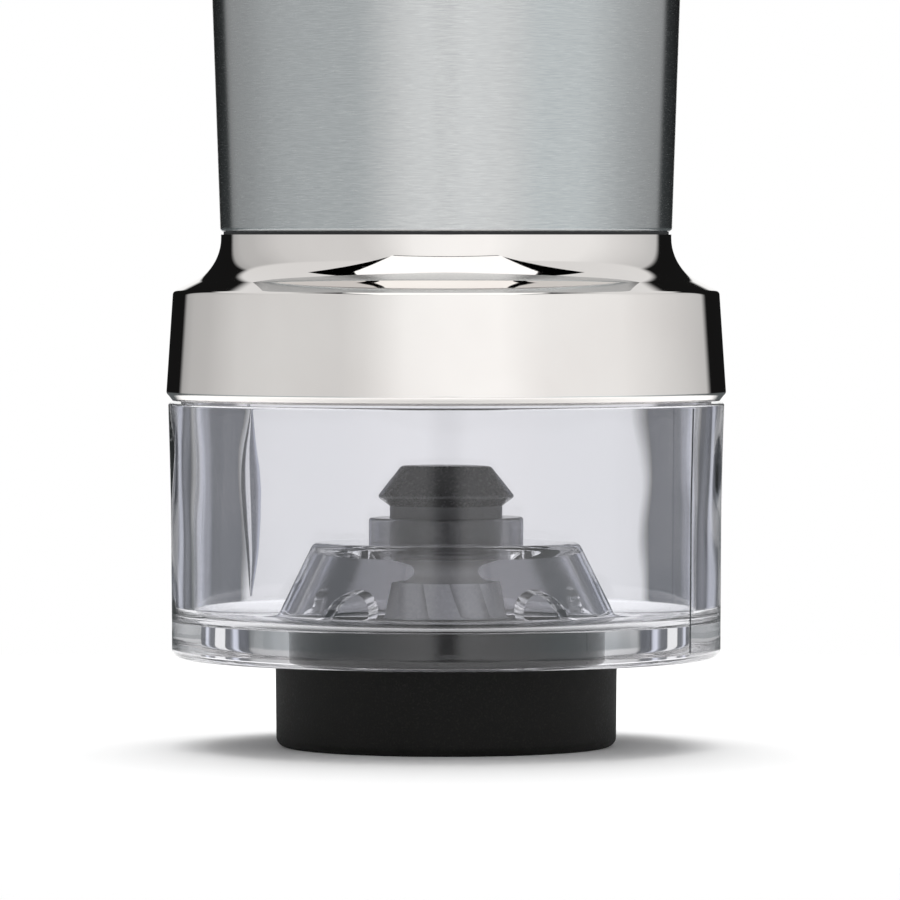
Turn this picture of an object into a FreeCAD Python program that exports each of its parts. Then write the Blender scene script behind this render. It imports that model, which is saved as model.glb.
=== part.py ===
# Pepper mill that is worked by its base.
# Peppercorns fall from the steel body into a clear chamber, go through the arches of the dome in
# its floor and meet a toothed rotor, which the rubber base turns inside a toothed ring.
# Millimetres. The mill's axis is Z, the table is Z = 0 and the front of the mill faces -Y.

import FreeCAD
import Part
import math
import os

from FreeCAD import Vector

# Clearances
push_fit = 0.05  # between pieces of one body that are pushed together
running_fit = 0.1  # between a shaft or hexagon and the hole that it moves in
body_gap = 0.3  # between bodies that move past each other

# Rubber base and the core inside it
base_height = 10.9
base_gap = 0.35  # between the base and the chamber above it
grip_wall = 4.45
grip_draft = 0.1  # the grip is this much narrower at the table
grip_foot_round = 1.2
grip_top_round = 0.4
grip_lip_height = 1.2
grip_lip_width = 2.55
rim_wall = 1.7
snap_lip_height = 1.6
snap_lead = 0.5
web_thickness = 1.8
spoke_count = 4
spoke_width = 4.0
tower_height = 3.0
tower_wall = 0.95
socket_sink = 0.6  # the socket's floor lies this far below the top of the web
socket_floor_gap = 0.2

# Adjuster screw and spring
grind_travel = 1.0  # the rotor sinks this far from its finest to its coarsest setting
head_recess = 0.6
head_height = 1.95
head_inset = 0.6  # how much narrower the head is than the hub above it
head_scallops = 12
scallop_radius = 0.9
coin_slot_width = 1.4
coin_slot_depth = 0.9
shank_radius = 1.95
thread_engagement = 8.0
thread_run_out = 1.0
wire_diameter = 0.7
spring_turns = 3.5
spring_play = 0.4
spring_room = 1.4  # height left for the flattened spring
hub_margin = 0.25

# Burrs
burr_gap = 0.25  # between the fine teeth at the finest setting
rotor_foot_radius = 10.7
rotor_top_wall = 2.2  # over the corners of the hexagon
rotor_inset = 0.4  # the ring reaches this far below the rotor
fine_height = 2.0
fine_taper = 0.8
fine_teeth = 30
fine_depth = 0.45
fine_width = 0.9
fine_skew = 20.0
flute_count = 6
flute_radius = 2.6
flute_depth = 1.2
flute_skew = 18.0
flute_overrun = 2.5  # the flutes run on past the rotor's top
stator_wall = 1.5
stator_mouth_wall = 1.05
feed_count = 10
feed_depth = 0.6
feed_width = 2.0

# Spindle, bush and cap
hex_flats = 8.0
crown_land = 0.6  # the spindle's shoulder on the rotor, beyond the corners of the hexagon
waist_radius = 2.9
waist_round = 0.9
waist_share = 0.55  # level of the waist between the rotor and the journal
journal_radius = 7.05
journal_drop = 0.4  # the journal starts this far below the dome's ceiling
stud_radius = 3.0
stud_height = 3.5
bush_wall = 1.45
bush_height = 3.2
bush_brim = 1.15
bush_round = 0.4
cap_gap = 0.47  # left under the cap when the rotor is at its lowest
cap_height = 5.2
cap_overhang = 1.6
cap_flare_height = 1.2
cap_taper = 3.05
cap_edge_round = 0.4
cap_top_round = 0.8

# Carrier of the toothed ring
carrier_wall = 1.8
carrier_gap = 0.4  # between the carrier's neck and the web below it
ledge_width = 0.75
bead_height = 0.7
bead_thickness = 0.9
bead_ramp = 0.5
flange_width = 5.75
flange_land = 1.6
funnel_depth = 2.15

# Clear chamber
floor_thickness = 4.45
floor_width = 9.85
ledge_drop = 0.35
dome_ledge = 0.6
dome_slope = 0.5  # radius lost per unit of height
dome_wall = 2.4
dome_height = 10.15
dome_plate = 2.1
dome_top_round = 1.3
dome_foot_round = 3.0
throat_height = 3.35  # from the rotor's top to the dome's ceiling
arch_count = 5
arch_width = 7.0
arch_height = 4.3
chamber_height = 32.05
bore_draft = 0.15
foot_draft = 0.13
rim_flare = 0.32
rim_flare_height = 12.3
rim_flare_round = 400.0
chamber_foot_round = 1.2
chamber_floor_round = 2.0
rim_round = 0.3
rim_ledge = 1.6
spigot_height = 6.3
spigot_skin = 0.7  # wall left behind the bayonet grooves

# Bayonet
lug_count = 4
lug_angle = 10.0
lug_reach = 0.65
lug_height = 1.8
lug_level = 3.3  # underside of a lug above the rim of the chamber
twist_angle = 30.0
twist_play = 1.0

# Collar
collar_gap = 0.3
band_overhang = 0.25
band_chamfer = 0.7
band_chamfer_height = 0.9
band_draft = 0.85
band_cover = 3.65  # the band rises this far above the shelf
band_round = 0.65
shoulder_width = 6.05
shoulder_slope = 0.5
cove_round = 6.0
neck_land = 0.42
neck_wall = 1.25
gasket_thickness = 1.15
gasket_inset = 0.15
shelf_thickness = 2.8

# Screws
screw_count = 4
screw_inset = 1.85
screw_land = 2.4
screw_head_radius = 2.3
screw_head_height = 1.4
screw_head_round = 0.6
screw_shank_radius = 0.95
screw_bite = 3.0
screw_hole_play = 0.45

# Hopper and sleeve
hopper_wall = 1.6
hopper_foot_thickness = 4.0
hopper_funnel_rise = 1.6
hopper_lip_height = 1.0
hopper_lip_inset = 0.65
sleeve_gasket_thickness = 0.35
sleeve_gasket_inset = 0.35
sleeve_step = 0.05
sleeve_wall = 0.8
sleeve_flare = 3.6
sleeve_length = 105.25
sleeve_round = 0.5
ring_height = 4.15
ring_overhang = 0.35
ring_round = 0.4

# Lid
lid_gap = 0.25
plug_depth = 10.3
plug_wall = 1.8
plug_plate = 1.6
plug_flange = 1.1
plug_flange_inset = 0.4
plug_rim_height = 3.6
plug_rim_wall = 1.6
plug_round = 0.5
seal_level = 4.0  # underside of the seal above the plug's lower edge
seal_height = 2.0
seal_depth = 0.8
seal_round = 0.3
cover_inset = 0.15
cover_height = 8.2
cover_wall = 1.2
cover_draft = 0.5
cover_crown = 1.7
cover_crown_radius = 12.0
cover_crown_round = 150.0
cover_round = 2.5

# Levels, from the table up
web_bottom = head_recess + head_height + push_fit
web_top = web_bottom + web_thickness
tower_top = web_top + tower_height
socket_floor = web_top - socket_sink
spindle_foot = socket_floor + socket_floor_gap + grind_travel
rotor_foot = web_top + grind_travel + 2 * body_gap
fine_top = rotor_foot + fine_height
spring_ceiling = tower_top + grind_travel + spring_room
shank_top = spindle_foot + thread_engagement
thread_top = shank_top + grind_travel + thread_run_out
carrier_foot = web_top + carrier_gap
stator_foot = rotor_foot - rotor_inset
snap_lip_foot = base_height - snap_lip_height
bead_top = snap_lip_foot - body_gap
chamber_foot = base_height + base_gap
floor_top = chamber_foot + floor_thickness
flange_top = floor_top - ledge_drop
ledge_level = flange_top + push_fit
stator_top = flange_top - funnel_depth
dome_top = floor_top + dome_height
dome_ceiling = dome_top - dome_plate
rotor_top = dome_ceiling - throat_height
journal_foot = dome_ceiling - journal_drop
bush_top = dome_top + bush_height
cap_foot = bush_top + grind_travel + cap_gap
cap_top = cap_foot + cap_height
chamber_rim = chamber_foot + chamber_height
spigot_top = chamber_rim + spigot_height
collar_foot = chamber_rim + collar_gap
lug_foot = chamber_rim + lug_level
lug_top = lug_foot + lug_height
shelf_bottom = spigot_top + push_fit + gasket_thickness
shelf_top = shelf_bottom + shelf_thickness
band_top = shelf_top + band_cover

# Radii, from the axis out
socket_flats = hex_flats + 2 * running_fit
hex_corner = hex_flats / math.sqrt(3)
socket_corner = socket_flats / math.sqrt(3)
tower_radius = socket_corner + tower_wall
wire_radius = wire_diameter / 2
spring_radius = tower_radius + spring_play + wire_radius
counterbore_radius = spring_radius + wire_radius + spring_play
hub_radius = spring_radius + wire_radius + hub_margin
head_radius = hub_radius - head_inset
crown_radius = hex_corner + crown_land
fine_top_radius = rotor_foot_radius - fine_taper
rotor_top_radius = hex_corner + rotor_top_wall
stator_radius = rotor_foot_radius + burr_gap + stator_wall
carrier_bore = stator_radius + push_fit
carrier_radius = carrier_bore + carrier_wall
bead_radius = carrier_radius + bead_height
snap_lip_radius = carrier_radius + body_gap
core_bore = bead_radius + body_gap
core_radius = core_bore + rim_wall
grip_bore = core_radius + push_fit
grip_radius = grip_bore + grip_wall
grip_lip_radius = grip_bore - grip_lip_width
flange_radius = carrier_radius + flange_width
mouth_radius = flange_radius + push_fit
bush_bore = journal_radius + running_fit
bush_radius = bush_bore + bush_wall
bush_seat = bush_radius + push_fit


def dome_bore(level):
    """Inner radius of the dome at a level."""
    return mouth_radius - dome_ledge - dome_slope * (level - ledge_level)


def dome_radius(level):
    """Outer radius of the dome at a level."""
    return dome_bore(level) + dome_wall


chamber_floor_radius = dome_radius(floor_top) + floor_width
chamber_bore = chamber_floor_radius + bore_draft
groove_radius = chamber_bore + spigot_skin
lug_radius = groove_radius + body_gap
spigot_radius = lug_radius + lug_reach
rim_radius = spigot_radius + rim_ledge
chamber_waist_radius = rim_radius - rim_flare
chamber_foot_radius = chamber_waist_radius - foot_draft
skirt_bore = spigot_radius + body_gap
band_radius = rim_radius + band_overhang
band_top_radius = band_radius - band_draft
neck_radius = band_top_radius - shoulder_width
neck_bore = neck_radius - neck_wall
hopper_neck_radius = neck_bore - push_fit
screw_circle = hopper_neck_radius - screw_inset
neck_hole = screw_circle - screw_land
sleeve_foot_radius = neck_radius + sleeve_step

# Levels of the collar's neck and what stands on it
cove_level = band_top + shoulder_slope * shoulder_width
cove_turn = math.pi / 2 - math.atan(shoulder_slope)
neck_top = cove_level + cove_round * math.tan(cove_turn / 2) + neck_land
sleeve_foot = neck_top + sleeve_gasket_thickness
sleeve_top = sleeve_foot + sleeve_length
ring_foot = sleeve_top + push_fit
ring_top = ring_foot + ring_height
hopper_lip_foot = ring_top + push_fit
hopper_top = hopper_lip_foot + hopper_lip_height
lid_foot = hopper_top + push_fit
cover_foot = lid_foot + plug_flange
cover_top = cover_foot + cover_height
plug_foot = lid_foot - plug_depth
seal_foot = plug_foot + seal_level
seal_top = seal_foot + seal_height


def flared(radius, level):
    """Radius at a level of a cone that widens as the sleeve does."""
    return radius + sleeve_flare * (level - sleeve_foot) / sleeve_length


hopper_bore = hopper_neck_radius - hopper_wall
ring_radius = flared(sleeve_foot_radius, sleeve_top) + ring_overhang
ring_bore = flared(hopper_neck_radius, hopper_lip_foot) + running_fit
cover_radius = ring_radius - cover_inset
plug_radius = flared(hopper_bore, plug_foot) - lid_gap
seal_floor_radius = plug_radius - seal_depth


def unit(vector):
    """The direction of a vector."""
    return Vector(vector).normalize()


def rounded_corner(before, corner, after, radius):
    """Start, middle and end of the arc that rounds a corner."""
    back = unit(before - corner)
    ahead = unit(after - corner)
    half = back.getAngle(ahead) / 2
    reach = radius / math.tan(half)
    middle = corner + unit(back + ahead) * (radius / math.sin(half) - radius)
    return corner + back * reach, middle, corner + ahead * reach


def outline(corners):
    """Closed wire in the XZ plane. A corner is radius and level, and a third value rounds it."""
    points = [Vector(corner[0], 0, corner[1]) for corner in corners]
    arcs = []
    for index, corner in enumerate(corners):
        point = points[index]
        if len(corner) == 2:
            arcs.append((point, None, point))
        else:
            following = points[(index + 1) % len(points)]
            arcs.append(rounded_corner(points[index - 1], point, following, corner[2]))
    edges = []
    for index, (arrive, middle, leave) in enumerate(arcs):
        if middle:
            edges.append(Part.Arc(arrive, middle, leave).toShape())
        following = arcs[(index + 1) % len(arcs)][0]
        edges.append(Part.LineSegment(leave, following).toShape())
    return Part.Wire(edges)


def turned(corners, angle=360):
    """Solid made by turning an outline about Z."""
    return Part.Face(outline(corners)).revolve(Vector(), Vector(0, 0, 1), angle)


def rod(radius, foot, top, distance=0):
    """Upright cylinder, with its axis at a distance from Z along X."""
    return Part.makeCylinder(radius, top - foot, Vector(distance, 0, foot))


def hexagon(flats, foot, top):
    """Upright hexagonal prism about Z."""
    corner = flats / math.sqrt(3)
    angles = [math.radians(60 * step) for step in range(7)]
    points = [Vector(corner * math.cos(a), corner * math.sin(a), foot) for a in angles]
    return Part.Face(Part.makePolygon(points)).extrude(Vector(0, 0, top - foot))


def ring_of(shape, count, first=0.0):
    """Copies of a shape, evenly spaced about Z."""
    copies = []
    for step in range(count):
        copy = shape.copy()
        copy.rotate(Vector(), Vector(0, 0, 1), first + 360 * step / count)
        copies.append(copy)
    return copies


def sector(inner, outer, foot, top, start, end):
    """Part of a ring between two angles from X."""
    corners = [(inner, foot), (outer, foot), (outer, top), (inner, top)]
    piece = turned(corners, end - start)
    piece.rotate(Vector(), Vector(0, 0, 1), start)
    return piece


def opening_side(foot, top, outward):
    """Direction square to a slanted line in the XZ plane, away from Z or towards it."""
    along = unit(top - foot)
    side = Vector(along.z, 0, -along.x)
    return side if outward else -side


def tooth_groove(foot, top, width, height, outward, skew):
    """V-shaped cutter whose edge runs from foot to top, turned by skew about its opening side."""
    side = opening_side(foot, top, outward)
    left = foot + side * height + Vector(0, width / 2, 0)
    right = foot + side * height - Vector(0, width / 2, 0)
    cutter = Part.Face(Part.makePolygon([foot, left, right, foot])).extrude(top - foot)
    cutter.rotate((foot + top) / 2, side, skew)
    return cutter


def flute(foot, top, radius, skew):
    """Round cutter whose lowest line runs from foot to top, turned by skew about its opening side."""
    side = opening_side(foot, top, True)
    length = (top - foot).Length
    cutter = Part.makeCylinder(radius, length, foot + side * radius, top - foot)
    cutter.rotate((foot + top) / 2, side, skew)
    return cutter


def base_grip():
    return turned([
        (grip_lip_radius, 0),
        (grip_radius - grip_draft, 0, grip_foot_round),
        (grip_radius, base_height, grip_top_round),
        (grip_bore, base_height),
        (grip_bore, grip_lip_height),
        (grip_lip_radius, grip_lip_height),
    ])


def base_core():
    """Rim with a snap lip, a spoked web for the grounds to fall through and a hexagon socket."""
    shank_hole = shank_radius + running_fit
    core = turned([
        (shank_hole, web_bottom),
        (core_bore, web_bottom),
        (core_bore, grip_lip_height),
        (core_radius, grip_lip_height),
        (core_radius, base_height),
        (snap_lip_radius + snap_lead, base_height),
        (snap_lip_radius, base_height - snap_lead),
        (snap_lip_radius, snap_lip_foot),
        (core_bore, snap_lip_foot),
        (core_bore, web_top),
        (tower_radius, web_top),
        (tower_radius, tower_top),
        (shank_hole, tower_top),
    ])
    windows = turned([
        (hub_radius, web_bottom),
        (grip_lip_radius, web_bottom),
        (grip_lip_radius, web_top),
        (hub_radius, web_top),
    ])
    spoke = Part.makeBox(core_bore, spoke_width, web_thickness, Vector(0, -spoke_width / 2, web_bottom))
    windows = windows.cut(ring_of(spoke, spoke_count, 180 / spoke_count))
    return core.cut([windows, hexagon(socket_flats, socket_floor, tower_top)])


def grind_adjuster():
    """Scalloped thumb screw with a coin slot."""
    head_top = head_recess + head_height
    screw = turned([
        (0, head_recess),
        (head_radius, head_recess),
        (head_radius, head_top),
        (shank_radius, head_top),
        (shank_radius, shank_top),
        (0, shank_top),
    ])
    scallop = rod(scallop_radius, head_recess, head_top, head_radius + scallop_radius / 2)
    slot_corner = Vector(-head_radius, -coin_slot_width / 2, head_recess)
    slot = Part.makeBox(2 * head_radius, coin_slot_width, coin_slot_depth, slot_corner)
    return screw.cut(ring_of(scallop, head_scallops, 180 / head_scallops) + [slot])


def coil_point(angle, foot, rise):
    """Point of the spring's wire at an angle, with its direction there."""
    point = Vector(spring_radius * math.cos(angle), spring_radius * math.sin(angle), foot + rise * angle)
    direction = unit(Vector(-spring_radius * math.sin(angle), spring_radius * math.cos(angle), rise))
    return point, direction


def tangent_arc(start, direction, end):
    """Arc from start to end that leaves along a direction."""
    chord = end - start
    along = unit(chord)
    across = unit(direction - along * direction.dot(along))
    bulge = math.tan(direction.getAngle(along) / 2) * chord.Length / 2
    return Part.Arc(start, (start + end) / 2 + across * bulge, end).toShape()


def biarc(start, leaving, end, arriving):
    """Two tangent arcs that join two points along given directions."""
    chord = end - start
    spread = leaving + arriving
    slack = 2 * (1 - leaving.dot(arriving))
    run = chord.dot(spread)
    reach = (math.sqrt(run * run + slack * chord.dot(chord)) - run) / slack
    middle = (start + leaving * reach + end - arriving * reach) / 2
    first = tangent_arc(start, leaving, middle)
    second = tangent_arc(end, -arriving, middle)
    return [first, second.reversed()]


def least_coil_gap(foot, rise):
    """Least clear distance between neighbouring turns, measured on points along the wire."""
    steps_per_turn = 72
    angles = [2 * math.pi * step / steps_per_turn for step in range(int(spring_turns * steps_per_turn))]
    points = [coil_point(angle, foot, rise)[0] for angle in angles]
    nearest = math.inf
    for index, point in enumerate(points):
        for other in points[index + steps_per_turn // 2:]:
            nearest = min(nearest, point.distanceToPoint(other))
    return nearest - wire_diameter


def rotor_spring():
    """Compression spring round the socket's tower, one unbroken wire."""
    foot = web_top + push_fit + wire_radius
    top = spring_ceiling - push_fit - wire_radius
    rise = (top - foot) / (2 * math.pi * spring_turns)
    quarters = round(spring_turns * 4)
    stations = [coil_point(math.pi / 2 * step, foot, rise) for step in range(quarters + 1)]
    edges = []
    for (start, leaving), (end, arriving) in zip(stations, stations[1:]):
        edges += biarc(start, leaving, end, arriving)
    path = Part.Wire(edges)
    first_point, first_direction = stations[0]
    section = Part.Wire(Part.makeCircle(wire_radius, first_point, first_direction))
    wire = path.makePipeShell([section], True, False)
    print("rotor_spring: least gap between turns %.3f mm" % least_coil_gap(foot, rise))
    expected = math.pi * wire_radius ** 2 * path.Length
    print("rotor_spring: volume %.3f, section times length %.3f" % (wire.Volume, expected))
    return wire


def rotor_burr():
    """Cone with a band of fine teeth at its foot and skewed feed flutes above."""
    cone = turned([
        (counterbore_radius, rotor_foot),
        (rotor_foot_radius, rotor_foot),
        (fine_top_radius, fine_top),
        (rotor_top_radius, rotor_top),
        (0, rotor_top),
        (0, spring_ceiling),
        (counterbore_radius, spring_ceiling),
    ])
    bore = hexagon(hex_flats + running_fit, spring_ceiling, rotor_top)
    overrun = fine_depth
    slope = fine_taper / fine_height
    tooth_foot = Vector(rotor_foot_radius - fine_depth + slope * overrun, 0, rotor_foot - overrun)
    tooth_top = Vector(fine_top_radius - fine_depth, 0, fine_top)
    tooth = tooth_groove(tooth_foot, tooth_top, 2 * fine_width, 2 * fine_depth, True, fine_skew)
    flute_foot = Vector(fine_top_radius - flute_depth, 0, fine_top)
    flute_top = Vector(rotor_top_radius - flute_depth, 0, rotor_top)
    flute_end = flute_top + unit(flute_top - flute_foot) * flute_overrun
    channel = flute(flute_foot, flute_end, flute_radius, flute_skew)
    return cone.cut([bore] + ring_of(tooth, fine_teeth) + ring_of(channel, flute_count))


def stator_burr():
    """Ring with fine teeth facing the rotor's and feed grooves that lead down to them."""
    fine_slope = fine_taper / fine_height
    bore_foot = rotor_foot_radius + burr_gap + fine_slope * rotor_inset
    bore_fine_top = fine_top_radius + burr_gap
    bore_mouth = stator_radius - stator_mouth_wall
    ring = turned([
        (bore_foot, stator_foot),
        (stator_radius, stator_foot),
        (stator_radius, stator_top),
        (bore_mouth, stator_top),
        (bore_fine_top, fine_top),
    ])
    tooth_foot = Vector(bore_foot + fine_depth, 0, stator_foot)
    tooth_top = Vector(bore_fine_top + fine_depth, 0, fine_top)
    tooth = tooth_groove(tooth_foot, tooth_top, 2 * fine_width, 2 * fine_depth, False, -fine_skew)
    groove_foot = Vector(bore_fine_top, 0, fine_top)
    groove_top = Vector(bore_mouth + feed_depth, 0, stator_top)
    groove = tooth_groove(groove_foot, groove_top, 2 * feed_width, 2 * feed_depth, False, -flute_skew)
    return ring.cut(ring_of(tooth, fine_teeth) + ring_of(groove, feed_count))


def spindle():
    """Hexagon that slides in the base's socket, a waist, a journal in the bush and a stud for the cap."""
    waist_level = rotor_top + waist_share * (journal_foot - rotor_top)
    shaft = turned([
        (0, rotor_top),
        (crown_radius, rotor_top),
        (waist_radius, waist_level, waist_round),
        (journal_radius, journal_foot),
        (journal_radius, cap_foot),
        (stud_radius, cap_foot),
        (stud_radius, cap_foot + stud_height),
        (0, cap_foot + stud_height),
    ])
    drive = hexagon(hex_flats, spindle_foot, rotor_top)
    thread = rod(shank_radius + push_fit, spindle_foot, thread_top)
    return shaft.fuse(drive).cut(thread).removeSplitter()


def retaining_cap():
    """Double-cone knob that keeps the spindle from falling through the bush."""
    cap_radius = journal_radius + cap_overhang
    knob = turned([
        (0, cap_foot),
        (journal_radius, cap_foot),
        (cap_radius, cap_foot + cap_flare_height, cap_edge_round),
        (cap_radius - cap_taper, cap_top, cap_top_round),
        (0, cap_top),
    ])
    return knob.cut(rod(stud_radius + push_fit, cap_foot, cap_foot + stud_height + push_fit))


def stator_carrier():
    """Black insert in the chamber's floor: a funnel, the ring's seat and the bead that holds the base."""
    bead_foot = bead_top - bead_thickness
    ledge_radius = stator_radius - ledge_width
    return turned([
        (ledge_radius, carrier_foot),
        (carrier_radius, carrier_foot),
        (carrier_radius, bead_foot - bead_ramp),
        (bead_radius, bead_foot),
        (bead_radius, bead_top),
        (carrier_radius, bead_top),
        (carrier_radius, chamber_foot),
        (flange_radius, chamber_foot),
        (flange_radius, flange_top),
        (flange_radius - flange_land, flange_top),
        (carrier_bore, stator_top),
        (carrier_bore, stator_foot),
        (ledge_radius, stator_foot),
    ])


def dome_arch():
    """Cutter for one inlet: an upright sided arch through the dome's wall, along X."""
    half = arch_width / 2
    spring_line = floor_top + arch_height - half
    start = mouth_radius - dome_ledge - dome_wall - half
    reach = dome_radius(floor_top) + dome_foot_round - start
    low_left = Vector(start, -half, floor_top)
    low_right = Vector(start, half, floor_top)
    high_left = Vector(start, -half, spring_line)
    high_right = Vector(start, half, spring_line)
    crown = Vector(start, 0, floor_top + arch_height)
    edges = [
        Part.LineSegment(low_left, low_right).toShape(),
        Part.LineSegment(low_right, high_right).toShape(),
        Part.Arc(high_right, crown, high_left).toShape(),
        Part.LineSegment(high_left, low_left).toShape(),
    ]
    return Part.Face(Part.Wire(edges)).extrude(Vector(reach, 0, 0))


def bayonet_groove():
    """Cutter for one groove of the spigot: an entry from above and a run that the lug twists along."""
    half_lug = lug_angle / 2 + twist_play
    foot = lug_foot - body_gap
    top = lug_top + body_gap
    outside = spigot_radius + body_gap
    entry_start = -twist_angle - half_lug
    run = sector(groove_radius, outside, foot, top, entry_start, half_lug)
    entry = sector(groove_radius, outside, foot, spigot_top, entry_start, half_lug - twist_angle)
    return run.fuse(entry)


def chamber_cup():
    """Clear chamber with a moulded dome over the grinder and a spigot that twists into the collar."""
    cup = turned([
        (bush_seat, dome_ceiling),
        (dome_bore(dome_ceiling), dome_ceiling),
        (dome_bore(ledge_level), ledge_level),
        (mouth_radius, ledge_level),
        (mouth_radius, chamber_foot),
        (chamber_foot_radius, chamber_foot, chamber_foot_round),
        (chamber_waist_radius, chamber_rim - rim_flare_height, rim_flare_round),
        (rim_radius, chamber_rim, rim_round),
        (spigot_radius, chamber_rim),
        (spigot_radius, spigot_top, rim_round),
        (chamber_bore, spigot_top, rim_round),
        (chamber_floor_radius, floor_top, chamber_floor_round),
        (dome_radius(floor_top), floor_top, dome_foot_round),
        (dome_radius(dome_top), dome_top, dome_top_round),
        (bush_seat, dome_top),
    ])
    arches = ring_of(dome_arch(), arch_count, 180 / arch_count - 90)
    grooves = ring_of(bayonet_groove(), lug_count)
    return cup.cut(arches + grooves)


def spindle_bush():
    """Clear bearing ring that is pushed into the top of the dome."""
    return turned([
        (bush_bore, dome_ceiling),
        (bush_radius, dome_ceiling),
        (bush_radius, dome_top),
        (bush_radius + bush_brim, dome_top),
        (bush_radius + bush_brim, bush_top, bush_round),
        (bush_bore, bush_top),
    ])


def chamber_gasket():
    inner = chamber_bore - gasket_inset
    outer = spigot_radius + gasket_inset
    return turned([
        (inner, spigot_top + push_fit),
        (outer, spigot_top + push_fit),
        (outer, shelf_bottom),
        (inner, shelf_bottom),
    ])


def collar():
    """Chromed collar: a band over the chamber's spigot, a coved shoulder and a neck round the hopper."""
    shell = turned([
        (skirt_bore, collar_foot),
        (band_radius - band_chamfer, collar_foot),
        (band_radius, collar_foot + band_chamfer_height, band_round),
        (band_top_radius, band_top, band_round),
        (neck_radius, cove_level, cove_round),
        (neck_radius, neck_top),
        (neck_bore, neck_top),
        (neck_bore, shelf_top),
        (neck_hole, shelf_top),
        (neck_hole, shelf_bottom),
        (skirt_bore, shelf_bottom),
    ])
    in_skirt = (skirt_bore + band_top_radius) / 2
    lug = sector(lug_radius, in_skirt, lug_foot, lug_top, -lug_angle / 2, lug_angle / 2)
    hole_radius = screw_shank_radius + screw_hole_play
    hole = rod(hole_radius, shelf_bottom, shelf_top, screw_circle)
    holes = ring_of(hole, screw_count, 180 / screw_count)
    return shell.fuse(ring_of(lug, lug_count)).cut(holes)


def hopper_screws():
    """Pan-head screws that hold the hopper's foot down on the collar's shelf."""
    screw = turned([
        (0, shelf_bottom - screw_head_height),
        (screw_head_radius, shelf_bottom - screw_head_height, screw_head_round),
        (screw_head_radius, shelf_bottom),
        (screw_shank_radius, shelf_bottom),
        (screw_shank_radius, shelf_top + screw_bite),
        (0, shelf_top + screw_bite),
    ])
    screw.translate(Vector(screw_circle, 0, 0))
    return Part.makeCompound(ring_of(screw, screw_count, 180 / screw_count))


def hopper():
    """Tapered tube that holds the peppercorns, with a screwed foot and a lip over the top ring."""
    foot_top = shelf_top + hopper_foot_thickness
    lip_radius = ring_radius - hopper_lip_inset
    tube = turned([
        (neck_hole, shelf_top),
        (hopper_neck_radius, shelf_top),
        (hopper_neck_radius, sleeve_foot),
        (flared(hopper_neck_radius, hopper_lip_foot), hopper_lip_foot),
        (lip_radius, hopper_lip_foot),
        (lip_radius, hopper_top),
        (flared(hopper_bore, hopper_top), hopper_top),
        (hopper_bore, sleeve_foot),
        (hopper_bore, foot_top + hopper_funnel_rise),
        (neck_hole, foot_top),
    ])
    pilot = rod(screw_shank_radius + push_fit, shelf_top, shelf_top + screw_bite + push_fit, screw_circle)
    return tube.cut(ring_of(pilot, screw_count, 180 / screw_count))


def sleeve_gasket():
    """Dark ring that shows as a thin line between collar and body."""
    inner = neck_bore + push_fit
    outer = neck_radius - sleeve_gasket_inset
    return turned([
        (inner, neck_top),
        (outer, neck_top),
        (outer, sleeve_foot),
        (inner, sleeve_foot),
    ])


def outer_sleeve():
    """Brushed steel body, a straight cone that widens upwards."""
    top_radius = flared(sleeve_foot_radius, sleeve_top)
    return turned([
        (sleeve_foot_radius - sleeve_wall, sleeve_foot),
        (sleeve_foot_radius, sleeve_foot, sleeve_round),
        (top_radius, sleeve_top),
        (top_radius - sleeve_wall, sleeve_top),
    ])


def top_ring():
    return turned([
        (ring_bore, ring_foot),
        (ring_radius, ring_foot, ring_round),
        (ring_radius, ring_top, ring_round),
        (ring_bore, ring_top),
    ])


def lid_plug():
    """Plug that fits the hopper's mouth, with a groove for the seal and a rim inside the cover."""
    bore = plug_radius - plug_wall
    flange = cover_radius - plug_flange_inset
    rim_outer = cover_radius - cover_draft - cover_wall - push_fit
    rim_inner = rim_outer - plug_rim_wall
    rim_top = cover_foot + plug_rim_height
    return turned([
        (bore, plug_foot),
        (plug_radius, plug_foot, plug_round),
        (plug_radius, seal_foot),
        (seal_floor_radius, seal_foot),
        (seal_floor_radius, seal_top),
        (plug_radius, seal_top),
        (plug_radius, lid_foot),
        (flange, lid_foot),
        (flange, cover_foot),
        (rim_outer, cover_foot),
        (rim_outer, rim_top),
        (rim_inner, rim_top),
        (rim_inner, lid_foot + plug_plate),
        (0, lid_foot + plug_plate),
        (0, lid_foot),
        (bore, lid_foot),
    ])


def lid_seal():
    inner = seal_floor_radius + push_fit
    outer = flared(hopper_bore, seal_foot) - running_fit
    return turned([
        (inner, seal_foot + push_fit),
        (outer, seal_foot + push_fit, seal_round),
        (outer, seal_top - push_fit, seal_round),
        (inner, seal_top - push_fit),
    ])


def lid_cover():
    """Chromed cap with a faint crown, a shell over the plug's rim."""
    side_top = cover_top - cover_crown
    inner_top = cover_top - cover_wall
    edge_radius = cover_radius - cover_draft
    return turned([
        (cover_radius - cover_wall, cover_foot),
        (cover_radius, cover_foot),
        (edge_radius, side_top, cover_round),
        (cover_crown_radius, cover_top, cover_crown_round),
        (0, cover_top),
        (0, inner_top),
        (cover_crown_radius, inner_top),
        (edge_radius - cover_wall, inner_top - cover_crown),
    ])


pieces = [
    base_grip,
    base_core,
    grind_adjuster,
    rotor_spring,
    rotor_burr,
    stator_burr,
    spindle,
    retaining_cap,
    stator_carrier,
    chamber_cup,
    spindle_bush,
    chamber_gasket,
    collar,
    hopper_screws,
    hopper,
    sleeve_gasket,
    outer_sleeve,
    top_ring,
    lid_plug,
    lid_seal,
    lid_cover,
]

os.makedirs("parts", exist_ok=True)
for piece in pieces:
    shape = piece()
    shape.exportStep("parts/" + piece.__name__ + ".step")
    print("%s: %d solid(s), %.1f mm3" % (piece.__name__, len(shape.Solids), shape.Volume))
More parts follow.
